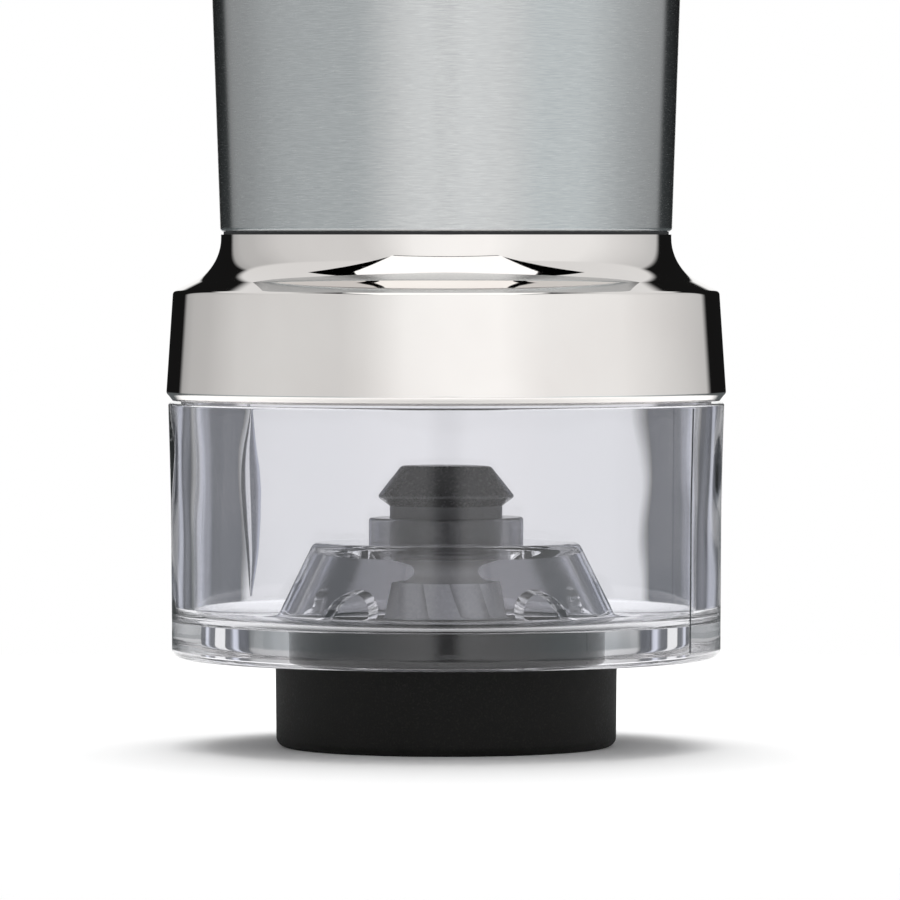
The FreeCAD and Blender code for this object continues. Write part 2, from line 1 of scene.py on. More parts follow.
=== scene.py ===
# %% [markdown]
# # A pepper mill with a clear chamber
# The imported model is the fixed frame: every piece of the mill is already there at its real size.
# This lesson gives each surface its finish, makes by rule the turned pieces that mirror or bend the light,
# and lights the mill as a product photographer would.

# %% Load the frame
import math

import bmesh
import bpy
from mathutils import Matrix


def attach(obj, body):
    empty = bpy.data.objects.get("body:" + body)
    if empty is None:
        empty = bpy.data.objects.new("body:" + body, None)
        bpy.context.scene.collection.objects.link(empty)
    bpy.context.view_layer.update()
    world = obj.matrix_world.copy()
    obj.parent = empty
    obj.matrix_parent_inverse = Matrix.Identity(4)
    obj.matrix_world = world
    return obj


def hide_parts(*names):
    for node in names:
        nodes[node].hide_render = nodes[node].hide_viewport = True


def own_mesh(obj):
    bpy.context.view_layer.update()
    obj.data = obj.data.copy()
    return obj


MM = 0.001
LIGHT_BOUNCES = 32  # light runs round inside a clear wall many times

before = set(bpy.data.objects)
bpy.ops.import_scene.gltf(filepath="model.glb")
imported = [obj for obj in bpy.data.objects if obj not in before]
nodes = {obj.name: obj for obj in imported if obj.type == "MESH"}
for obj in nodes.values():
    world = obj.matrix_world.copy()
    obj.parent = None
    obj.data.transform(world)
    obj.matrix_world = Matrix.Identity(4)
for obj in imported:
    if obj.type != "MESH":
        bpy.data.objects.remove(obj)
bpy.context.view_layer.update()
scene = bpy.context.scene
scene.view_settings.view_transform = "Standard"
for kind in ("max_bounces", "transmission_bounces", "glossy_bounces"):
    setattr(scene.cycles, kind, LIGHT_BOUNCES)

# %% [markdown]
# Two small helpers are used by every finish below. Colours are written as the sRGB codes that a
# colour picker shows, and Blender's sockets want linear light, so one function converts them.
# The other adds a shader or geometry node, sets what is given and links what is a socket.

# %% Helpers for colours and nodes
def linear(code):
    """Linear colour with full alpha from an sRGB hex code."""
    channels = [int(code[i:i + 2], 16) / 255 for i in (1, 3, 5)]
    return [c / 12.92 if c <= 0.04045 else ((c + 0.055) / 1.055) ** 2.4 for c in channels] + [1.0]


def add(tree, kind, inputs=None, stops=(), **settings):
    """Adds a node. An input that is a socket is linked, another value is set, and a ramp gets its stops."""
    node = tree.nodes.new(kind)
    for name, value in settings.items():
        setattr(node, name, value)
    for key, value in (inputs or {}).items():
        if isinstance(value, bpy.types.NodeSocket):
            tree.links.new(value, node.inputs[key])
        else:
            node.inputs[key].default_value = value
    if stops:
        ramp = node.color_ramp.elements
        ramp.remove(ramp[1])
        for index, (place, colour) in enumerate(stops):
            stop = ramp[0] if index == 0 else ramp.new(place)
            stop.position, stop.color = place, colour
    return node


# %% [markdown]
# Every finish starts in the same way: one shader, with the values that are the same all over set on its
# own sockets, and the place of a point on the piece. A noise then varies what a real surface varies.

# %% Helpers for finishes
MIDDLE = (0.3, 0.7)  # a noise seldom leaves this part of its range


def start_finish(name, **constants):
    """A material with one shader, whose constant values sit on the shader's own sockets."""
    material = bpy.data.materials.new(name)
    material.use_nodes = True
    tree = material.node_tree
    tree.nodes.clear()
    constants = {socket.replace("_", " "): value for socket, value in constants.items()}
    shader = add(tree, "ShaderNodeBsdfPrincipled", constants)
    add(tree, "ShaderNodeOutputMaterial", {"Surface": shader.outputs["BSDF"]})
    place = add(tree, "ShaderNodeTexCoord").outputs["Object"]
    return material, tree, shader, place


def per_mm(size):
    """Scale of a pattern from the size in millimetres of one of its features."""
    return 1 / (size * MM)


def from_middle(pattern, limits):
    """Inputs that stretch the middle range of a noise between two limits."""
    return {"Value": pattern, "From Min": MIDDLE[0], "From Max": MIDDLE[1],
            "To Min": limits[0], "To Max": limits[1]}


def vary(tree, shader, pattern, tones, roughness, between=MIDDLE):
    """Lets a pattern vary a finish: its colour from dark to pale, and its roughness."""
    stops = [(place, linear(code)) for place, code in zip(between, tones)]
    tone = add(tree, "ShaderNodeValToRGB", {"Fac": pattern}, stops).outputs["Color"]
    rough = add(tree, "ShaderNodeMapRange", from_middle(pattern, roughness)).outputs["Result"]
    tree.links.new(tone, shader.inputs["Base Color"])
    tree.links.new(rough, shader.inputs["Roughness"])


def dress(finish, *names):
    """Gives a finish to nodes of the frame."""
    for name in names:
        slots = nodes[name].data.materials
        slots.clear()
        slots.append(finish)
    print(finish.name, "on", ", ".join(names))


# %% [markdown]
# ## Brushed stainless steel
# The body is a rolled steel sleeve, brushed while it turned, so its scratches run round it.
# Each scratch spreads a reflection up and down and hardly sideways. An anisotropic shader does that,
# and a noise squeezed along Z draws the scratches themselves in roughness, tone and height.

# %% Finish of the sleeve
SCRATCH_LENGTH = 1.8
SCRATCH_PITCH = 0.1  # coarser than real brushing, so that it shows in the render
SCRATCH_DEPTH = 0.02
SCRATCH_STRENGTH = 0.03
SCRATCH_TONES = ("#bdbfc0", "#cfd1d1")
SCRATCH_ROUGHNESS = (0.2, 0.28)
ACROSS_THE_SCRATCHES = 0.25  # part of a turn from the tangent round Z, so that reflections spread upright


def make_brushed_steel():
    """Stainless steel, brushed round: soft grey bands run up the body."""
    material, tree, shader, place = start_finish(
        "brushed_stainless_steel", Metallic=1.0, Anisotropic=0.9,
        Anisotropic_Rotation=ACROSS_THE_SCRATCHES,
    )
    scale = (per_mm(SCRATCH_LENGTH), per_mm(SCRATCH_LENGTH), per_mm(SCRATCH_PITCH))
    squeezed = add(tree, "ShaderNodeMapping", {"Vector": place, "Scale": scale}).outputs["Vector"]
    noise = {"Vector": squeezed, "Scale": 1.0, "Detail": 4.0, "Roughness": 0.65}
    scratch = add(tree, "ShaderNodeTexNoise", noise).outputs["Fac"]
    vary(tree, shader, scratch, SCRATCH_TONES, SCRATCH_ROUGHNESS)
    bump = {"Height": scratch, "Strength": SCRATCH_STRENGTH, "Distance": SCRATCH_DEPTH * MM}
    relief = add(tree, "ShaderNodeBump", bump)
    round_z = add(tree, "ShaderNodeTangent", direction_type="RADIAL", axis="Z")
    tree.links.new(relief.outputs["Normal"], shader.inputs["Normal"])
    tree.links.new(round_z.outputs["Tangent"], shader.inputs["Tangent"])
    return material


brushed_steel = make_brushed_steel()
print("finish:", brushed_steel.name)

# %% [markdown]
# ## Polished plate
# The collar, the top ring and the lid are plated castings, polished until they mirror the studio.
# A mirror shows little of itself, so the finish is a faint warm tint, a very low roughness and a trace
# of polishing haze that keeps the reflections from looking computed.

# %% Finish of the plated pieces
POLISH_HAZE = 14.0
POLISH_TONES = ("#ebe7e4", "#f0edea")
POLISH_ROUGHNESS = (0.02, 0.05)


def make_polished_plate():
    """Plated and polished metal: a faintly warm mirror."""
    material, tree, shader, place = start_finish("polished_plate", Metallic=1.0)
    noise = {"Vector": place, "Scale": per_mm(POLISH_HAZE), "Detail": 5.0}
    haze = add(tree, "ShaderNodeTexNoise", noise).outputs["Fac"]
    vary(tree, shader, haze, POLISH_TONES, POLISH_ROUGHNESS)
    return material


polished_plate = make_polished_plate()
print("finish:", polished_plate.name)

# %% [markdown]
# ## Clear moulded plastic
# The chamber is injection moulded in a clear plastic that is faintly violet and looks heavier than glass
# where the wall is thick. Real refraction does most of the work, since the walls have their true thickness.
# The shade inside the dome is painted: a grey tint lies on the far half of the dome's inside, seen through
# its near half, and on the walls of the arches. A tint in the whole plastic would grey the outer wall as
# well, so a mask finds those skins by their level and radius.

# %% Where the shade is painted
DOME_FOOT = 15.5  # levels in mm between which the inside of the dome is painted with shade
DOME_CEILING = 24.8
DOME_FOOT_RADIUS = 19.8  # a cone between the two skins of the dome: its radius in mm at the foot
DOME_TAPER = 0.404  # and how much narrower it gets for each mm upwards
PAINTED_SHADE_EDGE = 6.0  # distance in mm to either side of the axis over which the painted shade of the far half sets in
ARCH_PAINTED_SHADE = (0.8, 0.65)  # middle and half, in mm outside that cone, of the depth where arch walls get painted shade
ARCH_CROWN = 20.1  # level in mm just above the arches


def painted_shade_mask(tree, place):
    """One on the skins where shade is painted, and zero elsewhere."""
    parts = add(tree, "ShaderNodeSeparateXYZ", {"Vector": place}).outputs
    flat = add(tree, "ShaderNodeCombineXYZ", {"X": parts["X"], "Y": parts["Y"]}).outputs[0]
    radius = add(tree, "ShaderNodeVectorMath", {0: flat}, operation="LENGTH").outputs["Value"]
    cone = {0: parts["Z"], 1: -DOME_TAPER, 2: (DOME_FOOT_RADIUS + DOME_TAPER * DOME_FOOT) * MM}
    cone = add(tree, "ShaderNodeMath", cone, operation="MULTIPLY_ADD").outputs[0]
    inside = add(tree, "ShaderNodeMath", {0: radius, 1: cone}, operation="LESS_THAN").outputs[0]
    # painted shade: the far half of the dome's inside turns grey, and the near half stays clear
    far = {"Value": parts["Y"], "From Min": -PAINTED_SHADE_EDGE * MM, "From Max": PAINTED_SHADE_EDGE * MM}
    far = add(tree, "ShaderNodeMapRange", far, interpolation_type="SMOOTHSTEP").outputs["Result"]
    dome = add(tree, "ShaderNodeMath", {0: inside, 1: far}, operation="MULTIPLY").outputs[0]
    # painted shade on the walls of the arches, a thin shell just outside the cone
    outside = add(tree, "ShaderNodeMath", {0: radius, 1: cone}, operation="SUBTRACT").outputs[0]
    depth = {0: outside, 1: ARCH_PAINTED_SHADE[0] * MM, 2: ARCH_PAINTED_SHADE[1] * MM}
    arches = add(tree, "ShaderNodeMath", depth, operation="COMPARE").outputs[0]
    patches = []
    for patch, top in ((dome, DOME_CEILING), (arches, ARCH_CROWN)):
        for level, operation in ((DOME_FOOT, "GREATER_THAN"), (top, "LESS_THAN")):
            test = add(tree, "ShaderNodeMath", {0: parts["Z"], 1: level * MM}, operation=operation).outputs[0]
            patch = add(tree, "ShaderNodeMath", {0: patch, 1: test}, operation="MULTIPLY").outputs[0]
        patches.append(patch)
    return add(tree, "ShaderNodeMath", dict(enumerate(patches)), operation="MAXIMUM").outputs[0]


# %% [markdown]
# Plastic that flows into a mould sets with slight waves, which bend the view a little. A slow noise draws
# them in height and roughness. The bush on the dome is the same plastic with a matt skin.

# %% Finishes of the clear pieces
CLEAR_IOR = 1.53
CLEAR_TONES = ("#eeeef1", "#58585c")  # bare, and where shade is painted
FLOW_WAVE = 18.0
FLOW_RIPPLE = 0.2  # height in mm that the wall waves by
FLOW_ROUGHNESS = (0.0, 0.02)
PAINTED_SHADE_ROUGHNESS = 0.07  # added where shade is painted
MATT_TONE = "#c4c4c8"
MATT_GRAIN = 0.8
MATT_ROUGHNESS = (0.1, 0.25)


def make_clear_plastic():
    """Clear moulded plastic: faintly violet, gently waved, and painted grey as shade inside the dome."""
    material, tree, shader, place = start_finish(
        "clear_moulded_plastic", IOR=CLEAR_IOR, Transmission_Weight=1.0
    )
    noise = {"Vector": place, "Scale": per_mm(FLOW_WAVE), "Detail": 1.0}
    wave = add(tree, "ShaderNodeTexNoise", noise).outputs["Fac"]
    # painted shade: grey on the far inside of the dome and on the arch walls, with a rougher skin there
    shade_paint = painted_shade_mask(tree, place)
    stops = [(0.0, linear(CLEAR_TONES[0])), (1.0, linear(CLEAR_TONES[1]))]
    tone = add(tree, "ShaderNodeValToRGB", {"Fac": shade_paint}, stops).outputs["Color"]
    smooth = add(tree, "ShaderNodeMapRange", from_middle(wave, FLOW_ROUGHNESS)).outputs["Result"]
    haze = {0: shade_paint, 1: PAINTED_SHADE_ROUGHNESS, 2: smooth}
    rough = add(tree, "ShaderNodeMath", haze, operation="MULTIPLY_ADD").outputs[0]
    ripple = {"Height": wave, "Strength": 1.0, "Distance": FLOW_RIPPLE * MM}
    relief = add(tree, "ShaderNodeBump", ripple).outputs["Normal"]
    tree.links.new(tone, shader.inputs["Base Color"])
    tree.links.new(rough, shader.inputs["Roughness"])
    tree.links.new(relief, shader.inputs["Normal"])
    return material


def make_matt_clear():
    """The same plastic with a matt skin: a milky ring."""
    material, tree, shader, place = start_finish(
        "matt_clear_plastic", IOR=CLEAR_IOR, Transmission_Weight=1.0, Base_Color=linear(MATT_TONE)
    )
    noise = {"Vector": place, "Scale": per_mm(MATT_GRAIN), "Detail": 3.0}
    grain = add(tree, "ShaderNodeTexNoise", noise).outputs["Fac"]
    rough = add(tree, "ShaderNodeMapRange", from_middle(grain, MATT_ROUGHNESS)).outputs["Result"]
    tree.links.new(rough, shader.inputs["Roughness"])
    return material


clear_plastic = make_clear_plastic()
matt_clear = make_matt_clear()
print("finish:", clear_plastic.name)
dress(matt_clear, "spindle_bush")

# %% [markdown]
# ## Grained finishes
# The other pieces share one recipe: a plain colour, a moulded or ground grain of a real size,
# and the roughness that goes with it. The rubber foot has the boldest grain: its speckle is
# the matt skin catching the light.

# %% Finishes of the rubber foot and the inner pieces
GRAIN_STRENGTH = 0.4
GRAIN_SPECKS = (0.48, 0.72)  # part of the noise's range over which the tone turns pale
NYLON_JOIN = 24.5  # level in mm where the spindle's dark upper end starts
NYLON_DARK = "#3c3c3f"


def grained(name, tones, grain_mm, roughness, relief_mm, **constants):
    """A finish with a fine grain: two tones, a spread of roughness and a little height."""
    material, tree, shader, place = start_finish(name, **constants)
    noise = {"Vector": place, "Scale": per_mm(grain_mm), "Detail": 3.0}
    grain = add(tree, "ShaderNodeTexNoise", noise).outputs["Fac"]
    vary(tree, shader, grain, tones, roughness, GRAIN_SPECKS)
    bump = {"Height": grain, "Strength": GRAIN_STRENGTH, "Distance": relief_mm * MM}
    relief = add(tree, "ShaderNodeBump", bump).outputs["Normal"]
    tree.links.new(relief, shader.inputs["Normal"])
    return material


def two_shot(material, upper, level_mm):
    """Gives a finish another colour above a level."""
    tree = material.node_tree
    base = tree.nodes["Principled BSDF"].inputs["Base Color"]
    lower = base.links[0].from_socket
    place = add(tree, "ShaderNodeTexCoord").outputs["Object"]
    level = add(tree, "ShaderNodeSeparateXYZ", {"Vector": place}).outputs["Z"]
    above = {0: level, 1: level_mm * MM}
    above = add(tree, "ShaderNodeMath", above, operation="GREATER_THAN").outputs[0]
    both = {"Fac": above, "Color1": lower, "Color2": linear(upper)}
    tree.links.new(add(tree, "ShaderNodeMixRGB", both).outputs[0], base)


# Moulded rubber: nearly black, with a pale speckle and no shine.
rubber = grained("speckled_rubber", ("#040403", "#20201d"), grain_mm=0.25, roughness=(0.6, 0.85),
                 relief_mm=0.06, Specular_IOR_Level=0.27)
# Moulded ABS: an even satin black.
black_plastic = grained("satin_black_plastic", ("#0b0c0e", "#101114"), grain_mm=0.5,
                        roughness=(0.35, 0.5), relief_mm=0.006, Specular_IOR_Level=0.25)
# Glass-filled nylon: dark grey, with soft highlights on its edges.
cap_plastic = grained("filled_grey_plastic", ("#2e2e31", "#38383b"), grain_mm=0.4,
                      roughness=(0.2, 0.3), relief_mm=0.02)
# Nylon in two shots: pale below the join and dark above it.
spindle_nylon = grained("two_shot_nylon", ("#d2d2d0", "#dcdcda"), grain_mm=0.4,
                        roughness=(0.3, 0.4), relief_mm=0.02)
two_shot(spindle_nylon, NYLON_DARK, NYLON_JOIN)
# Sintered steel: a dull, grainy metal.
burr_steel = grained("sintered_burr_steel", ("#aeafb0", "#c2c3c4"), grain_mm=0.35,
                     roughness=(0.3, 0.5), relief_mm=0.02, Metallic=1.0)
# Moulded silicone: a soft dark grey.
silicone = grained("dark_silicone", ("#1a1b1d", "#222325"), grain_mm=0.6,
                   roughness=(0.5, 0.65), relief_mm=0.02)
# Drawn and rolled steel: bright, with narrow highlights.
bright_steel = grained("bright_steel", ("#b4b4b2", "#c6c6c4"), grain_mm=0.8,
                       roughness=(0.18, 0.3), relief_mm=0.01, Metallic=1.0)
dress(rubber, "base_grip")
dress(black_plastic, "base_core", "stator_carrier", "grind_adjuster", "hopper", "lid_plug")
dress(cap_plastic, "retaining_cap")
dress(spindle_nylon, "spindle")
dress(burr_steel, "rotor_burr", "stator_burr")
dress(silicone, "chamber_gasket", "sleeve_gasket", "lid_seal")
dress(bright_steel, "hopper_screws")

# %% [markdown]
# ## Geometry trees
# Pieces that follow a rule are made by geometry trees. Each tree has named inputs for its sizes and its
# finish, runs once on a small mesh, and leaves a plain mesh, because the frame takes plain meshes only.

# %% Helpers for geometry trees
SHARP_ANGLE = math.radians(25)  # edges that bend more than this are shaded as edges


def start_tree(name, result, **inputs):
    """A geometry tree with named inputs, each with its kind, and the geometry that it makes."""
    tree = bpy.data.node_groups.new(name, "GeometryNodeTree")
    for label, kind in inputs.items():
        tree.interface.new_socket(label, in_out="INPUT", socket_type="NodeSocket" + kind)
    tree.interface.new_socket(result, in_out="OUTPUT", socket_type="NodeSocketGeometry")
    return tree, add(tree, "NodeGroupInput").outputs


def end_tree(tree, geometry, finish, result):
    """Ends a tree: copies become real faces, and all of them get the finish."""
    real = add(tree, "GeometryNodeRealizeInstances", {"Geometry": geometry}).outputs[0]
    finished = add(tree, "GeometryNodeSetMaterial", {"Geometry": real, "Material": finish}).outputs[0]
    add(tree, "NodeGroupOutput", {result: finished})
    return tree


def plain_mesh(holder):
    """Mesh of an object as its modifiers leave it."""
    depsgraph = bpy.context.evaluated_depsgraph_get()
    return bpy.data.meshes.new_from_object(holder.evaluated_get(depsgraph))


def baked(name, source, tree, **values):
    """Runs a geometry tree on a mesh and keeps what it makes as a plain mesh."""
    holder = bpy.data.objects.new(name + "_rule", source)
    scene.collection.objects.link(holder)
    rule = holder.modifiers.new("rule", "NODES")
    rule.node_group = tree
    for item in tree.interface.items_tree:
        if item.name in values:
            rule[item.identifier] = values[item.name]
    mesh = plain_mesh(holder)
    bpy.data.objects.remove(holder)
    editable = bmesh.new()
    editable.from_mesh(mesh)
    bmesh.ops.recalc_face_normals(editable, faces=editable.faces)
    editable.to_mesh(mesh)
    editable.free()
    mesh.set_sharp_from_angle(angle=SHARP_ANGLE)
    piece = bpy.data.objects.new(name, mesh)
    scene.collection.objects.link(piece)
    print(name, "faces:", len(mesh.polygons))
    return piece


# %% [markdown]
# ## Turned pieces
# A polished or brushed cone shows every facet, so the sleeve, the collar, the top ring and the lid's cover
# are turned again at half-degree steps. Their rule is a lathe: a profile of radii and levels
# becomes a line of points, and a geometry tree sweeps the points round Z.
# The profile's corners are in millimetres, as in the frame, and a third number rounds a corner.

# %% Profiles
ARC_STEP = math.radians(6)
SUPPORT = 0.2  # distance in mm from a bend to the next point, which keeps the flats shaded flat


def rounded(before, corner, after, radius):
    """Points of the arc that rounds a corner of a profile."""
    back = [(b - c) / math.dist(before, corner) for b, c in zip(before, corner)]
    ahead = [(a - c) / math.dist(after, corner) for a, c in zip(after, corner)]
    between = math.acos(back[0] * ahead[0] + back[1] * ahead[1])
    reach = radius / math.tan(between / 2)
    to_centre = radius / math.sin(between / 2) / (2 * math.cos(between / 2))
    centre = [c + (b + a) * to_centre for c, b, a in zip(corner, back, ahead)]
    start = [c + b * reach for c, b in zip(corner, back)]
    end = [c + a * reach for c, a in zip(corner, ahead)]
    first = math.atan2(start[1] - centre[1], start[0] - centre[0])
    turn = math.atan2(end[1] - centre[1], end[0] - centre[0]) - first
    turn = (turn + math.pi) % (2 * math.pi) - math.pi
    steps = max(2, math.ceil(abs(turn) / ARC_STEP))
    angles = [first + turn * step / steps for step in range(steps + 1)]
    return [(centre[0] + radius * math.cos(a), centre[1] + radius * math.sin(a)) for a in angles]


def profile_points(corners):
    """Closed line of points through the corners, with arcs at the rounded ones and support points."""
    bends = []
    for index, corner in enumerate(corners):
        if len(corner) == 2:
            bends.append([corner])
        else:
            after = corners[(index + 1) % len(corners)]
            bends.append(rounded(corners[index - 1][:2], corner[:2], after[:2], corner[2]))
    points = []
    for index, bend in enumerate(bends):
        points += bend
        start, end = bend[-1], bends[(index + 1) % len(bends)][0]
        length = math.dist(start, end)
        if length > 3 * SUPPORT:
            for share in (SUPPORT / length, 1 - SUPPORT / length):
                points.append(tuple(s + (e - s) * share for s, e in zip(start, end)))
    return points + points[:1]


# %% [markdown]
# The tree makes a grid with a row for each point of the profile and a column for each step of the turn.
# It puts every vertex where its row's point comes to lie, and merges the first column with the last.

# %% The lathe
TURN_STEPS = 720
SEAM = 1e-6  # distance in metres within which the ends of the sweep are merged


def lathe_tree():
    """Geometry tree that sweeps a line of points in the XZ plane round Z."""
    tree, given = start_tree("lathe", "Turned", Profile="Geometry", Steps="Int", Finish="Material")
    count = add(tree, "GeometryNodeAttributeDomainSize", {"Geometry": given["Profile"]})
    columns = add(tree, "FunctionNodeIntegerMath", {0: given["Steps"], 1: 1}, operation="ADD").outputs[0]
    size = {"Vertices X": count.outputs["Point Count"], "Vertices Y": columns}
    grid = add(tree, "GeometryNodeMeshGrid", size).outputs["Mesh"]
    index = add(tree, "GeometryNodeInputIndex").outputs[0]
    cell = {0: index, 1: columns}
    row = add(tree, "FunctionNodeIntegerMath", cell, operation="DIVIDE_FLOOR").outputs[0]
    column = add(tree, "FunctionNodeIntegerMath", cell, operation="MODULO").outputs[0]
    place = add(tree, "GeometryNodeInputPosition").outputs[0]
    sample = add(tree, "GeometryNodeSampleIndex", data_type="FLOAT_VECTOR")
    tree.links.new(given["Profile"], sample.inputs["Geometry"])
    tree.links.new(place, sample.inputs["Value"])
    tree.links.new(row, sample.inputs["Index"])
    share = add(tree, "ShaderNodeMath", {0: column, 1: given["Steps"]}, operation="DIVIDE").outputs[0]
    angle = add(tree, "ShaderNodeMath", {0: share, 1: 2 * math.pi}, operation="MULTIPLY").outputs[0]
    spin = {"Vector": sample.outputs["Value"], "Angle": angle}
    swept = add(tree, "ShaderNodeVectorRotate", spin, rotation_type="Z_AXIS").outputs["Vector"]
    moved = add(tree, "GeometryNodeSetPosition", {"Geometry": grid, "Position": swept}).outputs[0]
    closed = add(tree, "GeometryNodeMergeByDistance", {"Geometry": moved, "Distance": SEAM}).outputs[0]
    shading = {"Geometry": closed, "Shade Smooth": True}
    smooth = add(tree, "GeometryNodeSetShadeSmooth", shading).outputs[0]
    return end_tree(tree, smooth, given["Finish"], "Turned")


lathe = lathe_tree()


def turned(name, corners, finish, steps=TURN_STEPS):
    """A piece turned from the corners of its profile."""
    points = [(radius * MM, 0, level * MM) for radius, level in profile_points(corners)]
    line = bpy.data.meshes.new(name + "_profile")
    line.from_pydata(points, [(i, i + 1) for i in range(len(points) - 1)], [])
    return baked(name, line, lathe, Steps=steps, Finish=finish)


def stand_in(piece, node, body):
    """Puts a piece in the place of a node of the frame."""
    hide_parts(node)
    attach(piece, body)


# %% [markdown]
# The sleeve is a straight cone with a rolled foot. The collar runs from its bevelled foot up the band,
# over the shoulder, round the cove to the neck, and back down inside to the shelf and the skirt.

# %% Sleeve, collar, ring and cover
sleeve = turned("sleeve", [
    (27.6, 64.753), (28.4, 64.753, 0.5), (32.0, 170.003), (31.2, 170.003),
], brushed_steel)
plated_collar = turned("plated_collar", [
    (33.7, 43.6), (34.55, 43.6), (35.25, 44.5, 0.65), (34.4, 57.25, 0.65), (28.35, 60.275, 6.0),
    (28.35, 64.403), (27.1, 64.403), (27.1, 53.6), (22.8, 53.6), (22.8, 50.8), (33.7, 50.8),
], polished_plate)
plated_ring = turned("plated_ring", [
    (30.895, 170.053), (32.35, 170.053, 0.4), (32.35, 174.203, 0.4), (30.895, 174.203),
], polished_plate)
plated_cover = turned("plated_cover", [
    (31.0, 176.403), (32.2, 176.403), (31.7, 182.903, 2.5), (12.0, 184.603, 150.0), (0.0, 184.603),
    (0.0, 183.403), (12.0, 183.403), (30.5, 181.703),
], polished_plate)
stand_in(sleeve, "outer_sleeve", "housing")
stand_in(plated_collar, "collar", "housing")
stand_in(plated_ring, "top_ring", "housing")
stand_in(plated_cover, "lid_cover", "lid")

# %% [markdown]
# ## Pieces in a ring
# The collar holds the chamber by four lugs inside its skirt. They repeat round the axis, so a tree turns
# copies of a small mesh about Z. The mesh is a bar: a section carried along a row of stations.

# %% Rings of bars
def ring_tree():
    """Geometry tree that spaces copies of a mesh evenly about Z."""
    tree, given = start_tree("ring", "Ring", Piece="Geometry", Count="Int", First="Float", Finish="Material")
    points = add(tree, "GeometryNodePoints", {"Count": given["Count"]}).outputs[0]
    index = add(tree, "GeometryNodeInputIndex").outputs[0]
    share = add(tree, "ShaderNodeMath", {0: index, 1: given["Count"]}, operation="DIVIDE").outputs[0]
    angle = {0: share, 1: 2 * math.pi, 2: given["First"]}
    angle = add(tree, "ShaderNodeMath", angle, operation="MULTIPLY_ADD").outputs[0]
    turn = add(tree, "ShaderNodeCombineXYZ", {"Z": angle}).outputs[0]
    spaced = {"Points": points, "Instance": given["Piece"], "Rotation": turn}
    copies = add(tree, "GeometryNodeInstanceOnPoints", spaced).outputs[0]
    return end_tree(tree, copies, given["Finish"], "Ring")


def bar_mesh(name, stations):
    """Closed bar through stations, each a list of the same number of corners in millimetres."""
    width = len(stations[0])
    points = [[value * MM for value in corner] for station in stations for corner in station]
    faces = [list(range(width)), [(len(stations) - 1) * width + i for i in range(width)]]
    for row in range(len(stations) - 1):
        for i in range(width):
            j = (i + 1) % width
            low, high = row * width, (row + 1) * width
            faces.append([low + i, low + j, high + j, high + i])
    mesh = bpy.data.meshes.new(name)
    mesh.from_pydata(points, [], faces)
    return mesh


def polar(radius, degrees, level):
    """Point in millimetres from a radius, an angle from X and a level."""
    return radius * math.cos(math.radians(degrees)), radius * math.sin(math.radians(degrees)), level


def box_section(radii, levels):
    """Corners of a rectangle of radii and levels, in order."""
    (inner, outer), (foot, top) = radii, levels
    return [(inner, foot), (outer, foot), (outer, top), (inner, top)]


ring = ring_tree()
print("ring inputs:", [item.name for item in ring.interface.items_tree if item.in_out == "INPUT"])

# %% [markdown]
# A lug is a short bar that follows the skirt for ten degrees, at the level of the chamber's grooves.

# %% Lugs
LUG_COUNT = 4
LUG_HALF_ANGLE = 5.0
LUG_STEPS = 10
LUG_RADII = (32.75, 33.75)
LUG_LEVELS = (46.6, 48.4)

lug_angles = [LUG_HALF_ANGLE * (2 * step / LUG_STEPS - 1) for step in range(LUG_STEPS + 1)]
lug_section = box_section(LUG_RADII, LUG_LEVELS)
lug = bar_mesh("lug", [[polar(r, angle, z) for r, z in lug_section] for angle in lug_angles])
lugs = baked("collar_lugs", lug, ring, Count=LUG_COUNT, First=0.0, Finish=polished_plate)
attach(lugs, "housing")

# %% [markdown]
# ## The chamber
# The eye looks through the clear chamber, and every facet of a wall bends the view a little.
# So the chamber is turned as well, and then cut as its mould leaves it: five arches let the pepper
# into the dome, and four grooves round the spigot take the lugs. The cutters are rings of bars,
# and a Boolean takes them out of the turned shape.

# %% Chamber
CUP_STEPS = 480
ARCH_COUNT = 5
ARCH_HALF = 3.5
ARCH_FOOT = 15.71  # a hair above the floor, so that the two don't lie in one plane
ARCH_SPRING = 16.5
ARCH_REACH = (13.6, 24.75)
ARCH_FIRST = -54.0
ARCH_STEPS = 36
GROOVE_RADII = (32.45, 33.7)
GROOVE_FOOT = 46.3
GROOVE_ROOF = 48.7
GROOVE_MOUTH = 49.7  # above the spigot's rim, so that a lug can come in
GROOVE_ENTRY = [-36, -33, -30, -27, -24]
GROOVE_RUN = [-23.9, -20, -16, -12, -8, -4, 0, 3, 6]


def carved(piece, *cutters):
    """Takes the shapes of other objects out of a piece and removes those objects."""
    for cutter in cutters:
        cut = piece.modifiers.new(cutter.name, "BOOLEAN")
        cut.object, cut.operation, cut.solver = cutter, "DIFFERENCE", "EXACT"
    mesh = plain_mesh(piece)
    piece.modifiers.clear()
    piece.data = mesh
    mesh.set_sharp_from_angle(angle=SHARP_ANGLE)
    for cutter in cutters:
        bpy.data.objects.remove(cutter)
    print(piece.name, "faces after the cuts:", len(mesh.polygons))


